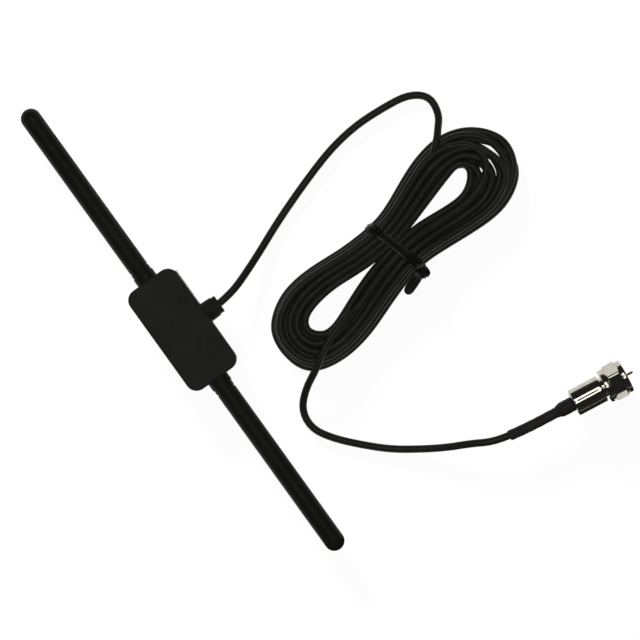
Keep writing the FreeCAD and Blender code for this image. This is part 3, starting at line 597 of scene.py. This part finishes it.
def make_barrel():
    """Makes the plug's barrel with a conical back, rounded edges and the stub in the sleeve."""
    back = (SLEEVE_END, BARREL_BACK_RADIUS)
    cone_end = (BARREL_CONE_END, BARREL_RADIUS)
    front = (BARREL_END, BARREL_RADIUS)
    post = (BARREL_END, POST_RADIUS)
    profile = [(STUB_START, PLUG_BORE), (STUB_START, STUB_RADIUS), (SLEEVE_END, STUB_RADIUS), back]
    profile += rounded(back, cone_end, front, BARREL_BACK_EDGE, BARREL_EDGE_STEPS)
    profile += [(along, BARREL_RADIUS) for along in spaced(*BARREL_RUN)]
    profile += rounded(cone_end, front, post, BARREL_FRONT_EDGE, BARREL_EDGE_STEPS)
    profile += [post, (BARREL_WALL, POST_RADIUS), (BARREL_WALL, PLUG_BORE)]
    return lathe("barrel", profile, BARREL_SIDES)


def nut_radius(along, angle):
    """Gives the nut's outside: two round collars, and a hexagon between them with cone-cut corners."""
    collar = 0.0
    for low, high in ((NUT_START, NUT_HEX_START), (NUT_HEX_END, NUT_END)):
        if low <= along <= high:
            near = min(along - low, high - along)
            drop = max(NUT_EDGE - near, 0.0)
            collar = NUT_COLLAR - NUT_EDGE + math.sqrt(NUT_EDGE * NUT_EDGE - drop * drop)
    face = (angle - NUT_ROLL) % (math.pi / 3) - math.pi / 6
    hexagon = min(NUT_FLAT / math.cos(face), NUT_CORNER)
    inside = min(along - NUT_HEX_START, NUT_HEX_END - along)
    cone = NUT_COLLAR - NUT_CUT_DROP + NUT_CUT_SLOPE * inside
    return max(collar, min(hexagon, cone) if inside >= 0 else 0.0)


def thread_radius(along, angle):
    """Gives the nut's screw thread, which fades in from its inner end."""
    fade = ease(along, THREAD_START, THREAD_START + THREAD_FADE)
    phase = (along / THREAD_PITCH - angle / math.tau) % 1.0
    return THREAD_MINOR + THREAD_DEPTH * fade * (1 - abs(2 * phase - 1))


def make_nut():
    """Makes the coupling nut with its hexagon outside and its screw thread inside."""
    angles = [NUT_ROLL + angle for angle in round_angles(NUT_SIDES)]

    def shaped(along, reach):
        radii = [(reach(along, angle), angle) for angle in angles]
        return [(along, radius * math.cos(angle), radius * math.sin(angle)) for radius, angle in radii]

    def plain(along, radius):
        return [(along, radius * math.cos(angle), radius * math.sin(angle)) for angle in angles]

    outside = spaced(NUT_START, NUT_EDGE_STEP, NUT_EDGE_RINGS) + [mix(NUT_START, NUT_HEX_START, 0.5)]
    outside += spaced(NUT_HEX_START - NUT_EDGE, NUT_EDGE_STEP, NUT_EDGE_RINGS - 1)
    outside += spaced(NUT_HEX_START + NUT_CUT_GAP, NUT_CUT_STEP, NUT_CUT_RINGS)
    outside += [mix(NUT_HEX_START, NUT_HEX_END, share) for share in (0.3, 0.5, 0.7)]
    outside += reversed(spaced(NUT_HEX_END - NUT_CUT_GAP, -NUT_CUT_STEP, NUT_CUT_RINGS))
    outside += spaced(NUT_HEX_END, NUT_EDGE_STEP, NUT_EDGE_RINGS)[1:] + [mix(NUT_HEX_END, NUT_END, 0.5)]
    outside += spaced(NUT_END - NUT_EDGE, NUT_EDGE_STEP, NUT_EDGE_RINGS)
    rings = [shaped(along, nut_radius) for along in outside]
    rings += [plain(NUT_END - depth, THREAD_MINOR + spare) for depth, spare in NUT_MOUTH]
    steps = int((NUT_END - THREAD_STOP - THREAD_START) / (THREAD_PITCH / THREAD_STEPS))
    for step in range(steps, -1, -1):
        rings.append(shaped(THREAD_START + step * THREAD_PITCH / THREAD_STEPS, thread_radius))
    rings.append(plain(NUT_WALL_END, THREAD_MINOR))
    rings.append(plain(NUT_WALL_END, NUT_BORE))
    rings.append(plain(NUT_START, NUT_BORE))
    return skin("nut", rings, True, PLUG_FRAME)


def ribbon(name, line, closed=False):
    """Sweeps the tie's section; each station gives its middle, its width direction and its width."""
    rings = []
    count = len(line)
    for number, (middle, side, width) in enumerate(line):
        ahead = line[(number + 1) % count if closed else min(number + 1, count - 1)][0]
        behind = line[number - 1 if closed else max(number - 1, 0)][0]
        forward = (ahead - behind).normalized()
        normal = forward.cross(side).normalized()
        ring = []
        for share, lift in TIE_SECTION:
            ring.append(middle + side * (share * width / 2) + normal * lift)
        rings.append(ring)
    return skin(name, rings, closed)


def tie_place(along, across, up):
    return hank_point(along, across, up) / MM


def tie_ring(side):
    """Gives the stations of the ring round the waist, squarer below than above."""
    stations = []
    half_height = (TIE_HIGH - TIE_LOW) / 2
    for angle in round_angles(TIE_SIDES):
        cosine, sine = math.cos(angle), math.sin(angle)
        power = 2 / (TIE_TOP_SQUARENESS if sine > 0 else TIE_SQUARENESS)
        across = math.copysign(abs(cosine) ** power, cosine) * TIE_HALF_WIDTH
        up = math.copysign(abs(sine) ** power, sine) * half_height + TIE_LOW + half_height
        stations.append((tie_place(TIE_MIDDLE - across * TIE_SKEW, across, up), side, TIE_WIDTH))
    return stations


def tie_wrap():
    """Gives the stations of the wrap that holds the tie's ends."""
    stations = []
    for angle in round_angles(WRAP_SIDES):
        turn = (math.sin(angle), math.cos(angle), math.sin(angle))
        place = [middle + reach * part for middle, reach, part in zip(WRAP_MIDDLE, WRAP_REACH, turn)]
        stations.append((tie_place(*place), HANK_ALONG, WRAP_WIDTH))
    return stations


def make_tie():
    """Makes the tie: a ring round the waist, its two ends folded into a tab, and a tail beside the hank."""
    side = (HANK_ALONG + HANK_ACROSS * -TIE_SKEW).normalized()
    tail_side = (HANK_ACROSS + HANK_ALONG * TIE_TAIL_SLANT).normalized()
    pieces = [ribbon("tie", tie_ring(side), True)]
    for fold in TIE_FOLDS:
        pieces.append(ribbon("fold", [(tie_place(*place), side, width) for *place, width in fold]))
    pieces.append(ribbon("tail", [(tie_place(*place), tail_side, width) for *place, width in TIE_TAIL]))
    pieces.append(ribbon("wrap", tie_wrap(), True))
    work = bmesh.new()
    for piece in pieces:
        work.from_mesh(piece.data)
    for piece in pieces[1:]:
        bpy.data.objects.remove(piece)
    work.to_mesh(pieces[0].data)
    work.free()
    return pieces[0]


class Finish:
    """A node material under construction."""

    def __init__(self, name, **sockets):
        self.material = bpy.data.materials.new(name)
        self.material.use_nodes = True
        self.tree = self.material.node_tree
        self.shader = self.tree.nodes["Principled BSDF"]
        self.place = self.tree.nodes.new("ShaderNodeTexCoord").outputs["Object"]
        for socket, value in sockets.items():
            self.shader.inputs[socket.replace("_", " ")].default_value = value

    def node(self, kind, inputs, **settings):
        made = self.tree.nodes.new(f"ShaderNode{kind}")
        for setting, value in settings.items():
            setattr(made, setting, value)
        for socket, value in inputs.items():
            if isinstance(value, bpy.types.NodeSocket):
                self.tree.links.new(value, made.inputs[socket])
            else:
                made.inputs[socket].default_value = value
        return made

    def noise(self, size, detail=2.0, stretch=(1, 1, 1)):
        """Gives cloudy noise whose blotches are about size metres wide."""
        vector = self.place
        if stretch != (1, 1, 1):
            vector = self.node("Mapping", {"Vector": self.place, "Scale": stretch}).outputs["Vector"]
        made = self.node("TexNoise", {"Vector": vector, "Scale": 0.6 / size, "Detail": detail})
        return made.outputs["Fac"]

    def cells(self, size):
        made = self.node("TexVoronoi", {"Vector": self.place, "Scale": 1 / size})
        return made.outputs["Distance"]

    def rings(self, size):
        """Gives fine lines round the X axis."""
        inputs = {"Vector": self.place, "Scale": 0.05 / size, "Distortion": 0.6, "Detail": 2.0}
        return self.node("TexWave", inputs, bands_direction="X").outputs["Fac"]

    def colour(self, value, low, high, span=NOISE_SPAN):
        """Runs the base colour from low to high as the value crosses the span."""
        made = self.node("ValToRGB", {"Fac": value})
        for element, position, shade in zip(made.color_ramp.elements, span, (low, high)):
            element.position = position
            element.color = (*shade, 1.0)
        self.tree.links.new(made.outputs["Color"], self.shader.inputs["Base Color"])

    def roughness(self, value, low, high):
        inputs = {"Value": value, "To Min": low, "To Max": high}
        inputs["From Min"], inputs["From Max"] = NOISE_SPAN
        made = self.node("MapRange", inputs)
        self.tree.links.new(made.outputs["Result"], self.shader.inputs["Roughness"])

    def bump(self, value, depth):
        """Adds relief of the given depth in metres on top of what is there."""
        inputs = {"Height": value, "Distance": depth, "Strength": 1.0}
        below = self.shader.inputs["Normal"].links
        if below:
            inputs["Normal"] = below[0].from_socket
        made = self.node("Bump", inputs)
        self.tree.links.new(made.outputs["Normal"], self.shader.inputs["Normal"])


def make_finishes():
    """Makes one material for each of the record's slots."""
    made = {}

    def add(name, **sockets):
        made[name] = Finish(name, **sockets)
        return made[name]

    case = add("case_plastic", Specular_IOR_Level=0.3)
    case.colour(case.noise(6 * MM, 4.0), (0.0074, 0.0077, 0.0066), (0.0098, 0.0102, 0.0088))
    case.roughness(case.noise(1.2 * MM), 0.5, 0.64)
    case.bump(case.noise(0.22 * MM, 3.0), 0.03 * MM)

    arm = add("arm_plastic", Specular_IOR_Level=0.15)
    arm.colour(arm.noise(9 * MM, 4.0), (0.0048, 0.0051, 0.0033), (0.0066, 0.0070, 0.0047))
    arm.roughness(arm.noise(1.5 * MM), 0.36, 0.5)
    arm.bump(arm.noise(0.3 * MM, 3.0), 0.012 * MM)

    gland = add("gland_rubber", Specular_IOR_Level=0.2)
    gland.colour(gland.noise(2 * MM, 4.0), (0.0060, 0.0062, 0.0046), (0.0088, 0.0090, 0.0068))
    gland.roughness(gland.noise(0.8 * MM), 0.5, 0.66)
    gland.bump(gland.noise(0.25 * MM, 3.0), 0.02 * MM)

    jacket = add("cable_jacket", Specular_IOR_Level=0.3)
    jacket.colour(jacket.noise(5 * MM, 4.0), (0.0066, 0.0066, 0.0050), (0.0096, 0.0095, 0.0074))
    jacket.roughness(jacket.noise(1.6 * MM), 0.3, 0.42)
    jacket.bump(jacket.noise(0.35 * MM, 3.0), 0.014 * MM)

    sleeve = add("sleeve_shrink", Specular_IOR_Level=0.3)
    sleeve.colour(sleeve.noise(3 * MM, 4.0), (0.0085, 0.0082, 0.0072), (0.0118, 0.0112, 0.0098))
    sleeve.roughness(sleeve.noise(1.2 * MM), 0.42, 0.58)
    sleeve.bump(sleeve.noise(0.6 * MM, 3.0, (0.25, 1, 1)), 0.03 * MM)

    tie = add("tie_plastic", Specular_IOR_Level=0.4)
    tie.colour(tie.noise(2 * MM, 3.0), (0.0024, 0.0024, 0.0019), (0.0038, 0.0037, 0.0030))
    tie.roughness(tie.noise(0.8 * MM), 0.22, 0.34)
    tie.bump(tie.noise(0.3 * MM), 0.012 * MM)

    foam = add("pad_foam", Specular_IOR_Level=0.2)
    foam.colour(foam.cells(0.25 * MM), (0.42, 0.41, 0.38), (0.62, 0.61, 0.57), (0.1, 0.6))
    foam.roughness(foam.noise(0.5 * MM), 0.8, 0.95)
    foam.bump(foam.cells(0.25 * MM), 0.08 * MM)

    paper = add("liner_paper", Specular_IOR_Level=0.3)
    paper.colour(paper.noise(0.5 * MM, 5.0, (1, 0.3, 1)), (0.62, 0.60, 0.52), (0.74, 0.73, 0.66))
    paper.roughness(paper.noise(1 * MM), 0.45, 0.6)
    paper.bump(paper.noise(0.2 * MM, 4.0), 0.01 * MM)

    steel = add("rod_steel", Metallic=1.0)
    steel.colour(steel.noise(1 * MM, 4.0, (0.2, 1, 1)), (0.50, 0.49, 0.47), (0.60, 0.59, 0.57))
    steel.roughness(steel.noise(0.4 * MM, 3.0, (0.1, 1, 1)), 0.22, 0.38)
    steel.bump(steel.noise(0.2 * MM, 2.0, (0.1, 1, 1)), 0.004 * MM)

    board = add("board_laminate", Specular_IOR_Level=0.5)
    board.colour(board.noise(0.5 * MM, 4.0), (0.012, 0.085, 0.035), (0.022, 0.125, 0.055))
    board.roughness(board.noise(0.6 * MM), 0.3, 0.45)
    board.bump(board.cells(0.3 * MM), 0.02 * MM)

    ferrite = add("ferrite", Specular_IOR_Level=0.4)
    ferrite.colour(ferrite.noise(0.4 * MM, 5.0), (0.020, 0.020, 0.022), (0.045, 0.045, 0.048))
    ferrite.roughness(ferrite.noise(0.3 * MM), 0.55, 0.75)
    ferrite.bump(ferrite.noise(0.1 * MM, 4.0), 0.02 * MM)

    copper = add("copper", Metallic=1.0)
    copper.colour(copper.noise(0.6 * MM, 4.0), (0.62, 0.26, 0.12), (0.78, 0.38, 0.20))
    copper.roughness(copper.noise(0.3 * MM), 0.2, 0.36)
    copper.bump(copper.noise(0.15 * MM), 0.006 * MM)

    chip = add("chip_ceramic", Specular_IOR_Level=0.5)
    chip.colour(chip.noise(0.4 * MM, 4.0), (0.24, 0.16, 0.10), (0.34, 0.24, 0.15))
    chip.roughness(chip.noise(0.2 * MM), 0.35, 0.5)
    chip.bump(chip.noise(0.08 * MM), 0.008 * MM)

    solder = add("solder", Metallic=1.0)
    solder.colour(solder.noise(0.5 * MM, 4.0), (0.52, 0.52, 0.53), (0.70, 0.70, 0.70))
    solder.roughness(solder.noise(0.3 * MM), 0.18, 0.4)
    solder.bump(solder.noise(0.4 * MM, 3.0), 0.02 * MM)

    dielectric = add("dielectric", Specular_IOR_Level=0.4)
    dielectric.colour(dielectric.noise(0.6 * MM), (0.74, 0.73, 0.69), (0.82, 0.81, 0.78))
    dielectric.roughness(dielectric.noise(0.4 * MM), 0.4, 0.55)
    dielectric.bump(dielectric.noise(0.15 * MM), 0.008 * MM)

    nickel = add("plug_nickel", Metallic=1.0)
    nickel.colour(nickel.noise(1.6 * MM, 5.0), (0.72, 0.68, 0.57), (0.84, 0.81, 0.71))
    nickel.roughness(nickel.noise(0.7 * MM, 4.0), 0.03, 0.08)
    nickel.bump(nickel.rings(0.16 * MM), 0.001 * MM)
    nickel.bump(nickel.noise(0.9 * MM, 3.0), 0.003 * MM)

    brass = add("pin_brass", Metallic=1.0)
    brass.colour(brass.noise(0.8 * MM, 4.0), (0.26, 0.20, 0.08), (0.36, 0.28, 0.12))
    brass.roughness(brass.noise(0.4 * MM), 0.2, 0.34)
    brass.bump(brass.noise(0.2 * MM), 0.005 * MM)
    return {name: finish.material for name, finish in made.items()}


def add_piece(piece, body, slot, *stands_for):
    """Hangs a piece on its body, with the record's slot, its finish and the nodes that it stands for.

    The finish comes first, because a curve that gets one later measures wrongly.
    """
    piece.data.materials.append(finishes[slot])
    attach(piece, body)
    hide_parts(*stands_for)
    return piece


def dress_nodes():
    for name, finish in NODE_FINISH.items():
        for holder in nodes[name].material_slots:
            holder.material = finishes[finish]


def make_floor():
    """Makes the pale floor: plain for the light it bounces, white with the shadow where it is seen."""
    half = FLOOR_HALF
    corners = [(-half, -half, 0), (half, -half, 0), (half, half, 0), (-half, half, 0)]
    mesh = bpy.data.meshes.new("floor")
    mesh.from_pydata(corners, [], [(0, 1, 2, 3)])
    floor = link(bpy.data.objects.new("floor", mesh))
    material = bpy.data.materials.new("floor")
    material.use_nodes = True
    tree = material.node_tree
    tree.nodes.clear()
    path = tree.nodes.new("ShaderNodeLightPath")
    mirrored = tree.nodes.new("ShaderNodeMath")
    mirrored.operation = "MAXIMUM"
    tree.links.new(path.outputs["Is Glossy Ray"], mirrored.inputs[0])
    tree.links.new(path.outputs["Is Transmission Ray"], mirrored.inputs[1])

    def surface(level, glow_level):
        matte = tree.nodes.new("ShaderNodeBsdfDiffuse")
        matte.inputs["Color"].default_value = (level, level, level, 1)
        glow = tree.nodes.new("ShaderNodeEmission")
        glow.inputs["Strength"].default_value = glow_level
        both = tree.nodes.new("ShaderNodeAddShader")
        tree.links.new(matte.outputs[0], both.inputs[0])
        tree.links.new(glow.outputs[0], both.inputs[1])
        return both.outputs[0]

    shader = surface(*FLOOR_PLAIN)
    seen = path.outputs["Is Camera Ray"]
    for chosen, levels in ((mirrored.outputs[0], FLOOR_MIRRORED), (seen, FLOOR_SEEN)):
        choice = tree.nodes.new("ShaderNodeMixShader")
        tree.links.new(chosen, choice.inputs["Fac"])
        tree.links.new(shader, choice.inputs[1])
        tree.links.new(surface(*levels), choice.inputs[2])
        shader = choice.outputs[0]
    out = tree.nodes.new("ShaderNodeOutputMaterial")
    tree.links.new(shader, out.inputs["Surface"])
    mesh.materials.append(material)
    return floor


def make_painted_shade_card():
    """Lays the dark sheet of painted shade just over the floor, out of sight of the camera and of the light;
    it stands in for the floor's shadow in the plug's reflections.
    """
    corners = [(along, across, CARD_HEIGHT) for along, across in PAINTED_SHADE_OUTLINE]
    mesh = bpy.data.meshes.new("painted_shade_card")
    mesh.from_pydata(corners, [], [tuple(range(len(corners)))])
    painted_shade_card = link(bpy.data.objects.new("painted_shade_card", mesh))
    painted_shade_card.matrix_world = Matrix.Translation((PLUG_START.x, PLUG_START.y, 0)) @ PLUG_FRAME.to_3x3().to_4x4()
    material = bpy.data.materials.new("painted_shade_card")
    material.use_nodes = True
    shader = material.node_tree.nodes["Principled BSDF"]
    # The painted shade's dark colour, which only reflections show
    shader.inputs["Base Color"].default_value = PAINTED_SHADE_COLOUR
    shader.inputs["Roughness"].default_value = 1.0
    mesh.materials.append(material)
    # Hidden from the camera, from diffuse light and from shadows, so the painted shade shows in reflections
    # alone
    painted_shade_card.visible_camera = False
    painted_shade_card.visible_diffuse = False
    painted_shade_card.visible_shadow = False


def add_softbox(name, tilt, along, distance, width, length, watts, mirrored):
    """Hangs a soft lamp that faces the field, tilted from straight overhead across the plug's axis."""
    plug_along = PLUG_FRAME.to_3x3() @ Vector((1, 0, 0))
    plug_across = PLUG_FRAME.to_3x3() @ Vector((0, 1, 0))
    away = plug_across * math.sin(math.radians(tilt)) + Vector((0, 0, math.cos(math.radians(tilt))))
    data = bpy.data.lights.new(name, "AREA")
    data.shape = "RECTANGLE"
    data.size = width
    data.size_y = length
    data.energy = watts
    lamp = link(bpy.data.objects.new(name, data))
    lamp.visible_glossy = mirrored
    turn = Matrix((plug_along.cross(away), plug_along, away)).transposed().to_4x4()
    lamp.matrix_world = Matrix.Translation(FIELD_CENTRE + away * distance + plug_along * along) @ turn
    return lamp


def set_world():
    """Makes the dark room, a little lighter near the horizon."""
    world = bpy.data.worlds.new("world")
    bpy.context.scene.world = world
    world.use_nodes = True
    tree = world.node_tree
    backdrop = tree.nodes["Background"]
    heading = tree.nodes.new("ShaderNodeTexCoord").outputs["Generated"]
    parts = tree.nodes.new("ShaderNodeSeparateXYZ")
    ramp = tree.nodes.new("ShaderNodeValToRGB")
    tree.links.new(heading, parts.inputs[0])
    tree.links.new(parts.outputs["Z"], ramp.inputs["Fac"])
    tree.links.new(ramp.outputs["Color"], backdrop.inputs["Color"])
    band = ramp.color_ramp
    for position, level in WORLD_LEVELS[2:]:
        band.elements.new(position)
    for element, (position, level) in zip(band.elements, WORLD_LEVELS):
        element.position = position
        element.color = (level, level, level, 1.0)


def set_light(floor):
    """Hangs the lamps: one for the floor and shadow, one for the object, and the plug's bright frame."""
    set_world()
    for settings in SOFTBOXES:
        lamp = add_softbox(*settings)
        if lamp.name in FLOOR_LINKS:
            lit = bpy.data.collections.new(f"{lamp.name}_floor")
            lit.objects.link(floor)
            lit.collection_objects[0].light_linking.link_state = FLOOR_LINKS[lamp.name]
            lamp.light_linking.receiver_collection = lit
    bpy.context.scene.view_settings.view_transform = "Standard"


finishes = make_finishes()
set_camera()
cable = add_piece(make_cable(), "antenna", "cable_jacket", "cable_lead", "cable_hank", "cable_tail")
tie = add_piece(make_tie(), "antenna", "tie_plastic", "cable_tie")
sleeve = add_piece(make_sleeve(), "antenna", "sleeve_shrink", "shrink_sleeve")
barrel = add_piece(make_barrel(), "antenna", "plug_nickel", "plug_barrel")
nut = add_piece(make_nut(), "nut", "plug_nickel", "coupling_nut")
dress_nodes()
set_light(make_floor())
# Painted shade beside the plug, for its reflections
make_painted_shade_card()
